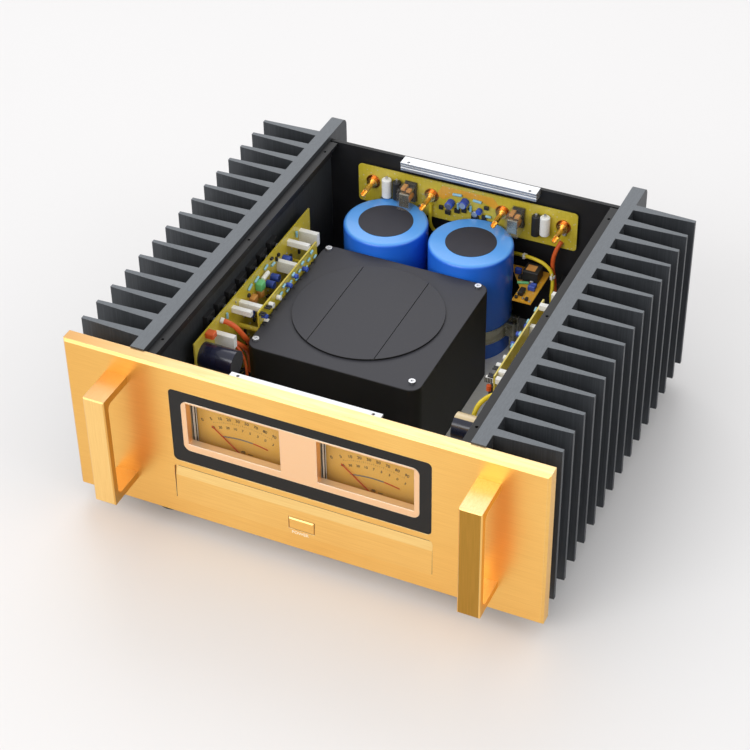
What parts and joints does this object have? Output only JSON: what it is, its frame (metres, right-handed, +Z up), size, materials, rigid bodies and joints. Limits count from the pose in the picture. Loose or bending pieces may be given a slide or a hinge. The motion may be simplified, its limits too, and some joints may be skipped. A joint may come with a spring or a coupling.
{
  "type": "power amplifier",
  "caption": "Open-topped stereo power amplifier with a gold front panel, two level meters, front handles, finned side heatsinks and its supply and boards inside.",
  "frame": {"origin": "on the ground under the middle of the bounding box", "axes": "+Z up, +Y to the rear connectors, -Y to the front panel, +X to the right as seen from the front"},
  "size_m": [0.48, 0.495, 0.198],
  "materials": {
    "gold_anodised": "satin brushed, gold anodised",
    "window_black": "gloss",
    "champagne": "satin champagne anodised",
    "meter_silver": "silvered",
    "dial_amber": "matte print",
    "needle_red": "satin",
    "meter_glass": "clear",
    "black_plastic": "moulded",
    "sink_black": "black anodised",
    "chassis_black": "fine texture paint",
    "bare_aluminium": "bare",
    "foot_rubber": "matte",
    "screw_steel": "plated",
    "transformer_black": "satin paint",
    "winding_copper": "enamelled",
    "can_blue": "shrunk sleeve",
    "board_yellow": "lacquered",
    "board_brown": "lacquered",
    "cement_white": "matte",
    "can_dark": "shrunk sleeve",
    "relay_clear": "clear case",
    "terminal_gold": "gold plated",
    "fuse_glass": "clear",
    "wire_yellow": "insulation",
    "wire_orange": "insulation"
  },
  "bodies": {
    "chassis": {"amp_board_left": "board_yellow", "amp_board_right": "board_yellow", "board_capacitors": "can_dark", "board_standoffs": "screw_steel", "bottom_plate": "bare_aluminium", "capacitor_clamps": "bare_aluminium", "capacitor_discs": "black_plastic", "capacitor_left": "can_blue", "capacitor_right": "can_blue", "cement_resistors": "cement_white", "chassis_screws": "screw_steel", "dial_left": "dial_amber", "dial_right": "dial_amber", "driver_boards": "board_yellow", "feet": "foot_rubber", "foot_screws": "screw_steel", "front_panel": "gold_anodised", "handle_left": "gold_anodised", "handle_right": "gold_anodised", "handle_screws": "screw_steel", "heatsink_left": "sink_black", "heatsink_right": "sink_black", "input_jacks": "terminal_gold", "lid_bar_front": "bare_aluminium", "lid_bar_rear": "bare_aluminium", "mains_inlet": "black_plastic", "meter_bezel": "champagne", "meter_case_left": "meter_silver", "meter_case_right": "meter_silver", "meter_glasses": "meter_glass", "meter_movements": "black_plastic", "orange_wires": "wire_orange", "power_switch": "black_plastic", "power_transistors": "black_plastic", "protection_board": "board_yellow", "rear_panel": "chassis_black", "rectifiers": "black_plastic", "relays": "relay_clear", "side_rail_left": "chassis_black", "side_rail_right": "chassis_black", "soft_start_board": "board_brown", "soft_start_bracket": "bare_aluminium", "speaker_posts": "terminal_gold", "transformer_case": "transformer_black", "transformer_core": "winding_copper", "transformer_cover": "transformer_black", "transformer_screws": "screw_steel", "window_frame": "window_black", "yellow_wires": "wire_yellow"},
    "button": {"power_button": "gold_anodised"},
    "needle_left": {"needle_left": "needle_red"},
    "needle_right": {"needle_right": "needle_red"},
    "post_cap_1": {"post_cap_1": "terminal_gold"},
    "post_cap_2": {"post_cap_2": "terminal_gold"},
    "post_cap_3": {"post_cap_3": "terminal_gold"},
    "post_cap_4": {"post_cap_4": "terminal_gold"},
    "fuse_drawer": {"fuse_drawer": "black_plastic", "mains_fuse": "fuse_glass"}
  },
  "joints": [
    {"name": "power_press", "type": "slide", "parent": "chassis", "child": "button", "axis": [0, 1, 0], "range_m": [0, 0.003], "stiffness_N_per_m": 600},
    {"name": "needle_left_swing", "type": "hinge", "parent": "chassis", "child": "needle_left", "pos_m": [-0.06625, -0.187, 0.098], "axis": [0, 1, 0], "range_deg": [0, 98], "stiffness_Nm_per_rad": 0.0003},
    {"name": "needle_right_swing", "type": "hinge", "parent": "chassis", "child": "needle_right", "pos_m": [0.06625, -0.187, 0.098], "axis": [0, 1, 0], "range_deg": [0, 98], "stiffness_Nm_per_rad": 0.0003},
    {"name": "post_1_turn", "type": "hinge", "parent": "chassis", "child": "post_cap_1", "pos_m": [-0.1096, 0.2305, 0.157], "axis": [0, 1, 0], "range_deg": [0, 720]},
    {"name": "post_2_turn", "type": "hinge", "parent": "chassis", "child": "post_cap_2", "pos_m": [-0.043, 0.2305, 0.157], "axis": [0, 1, 0], "range_deg": [0, 720]},
    {"name": "post_3_turn", "type": "hinge", "parent": "chassis", "child": "post_cap_3", "pos_m": [0.0366, 0.2305, 0.157], "axis": [0, 1, 0], "range_deg": [0, 720]},
    {"name": "post_4_turn", "type": "hinge", "parent": "chassis", "child": "post_cap_4", "pos_m": [0.1032, 0.2305, 0.157], "axis": [0, 1, 0], "range_deg": [0, 720]},
    {"name": "fuse_drawer_slide", "type": "slide", "parent": "chassis", "child": "fuse_drawer", "axis": [0, 1, 0], "range_m": [0, 0.016]}
  ]
}
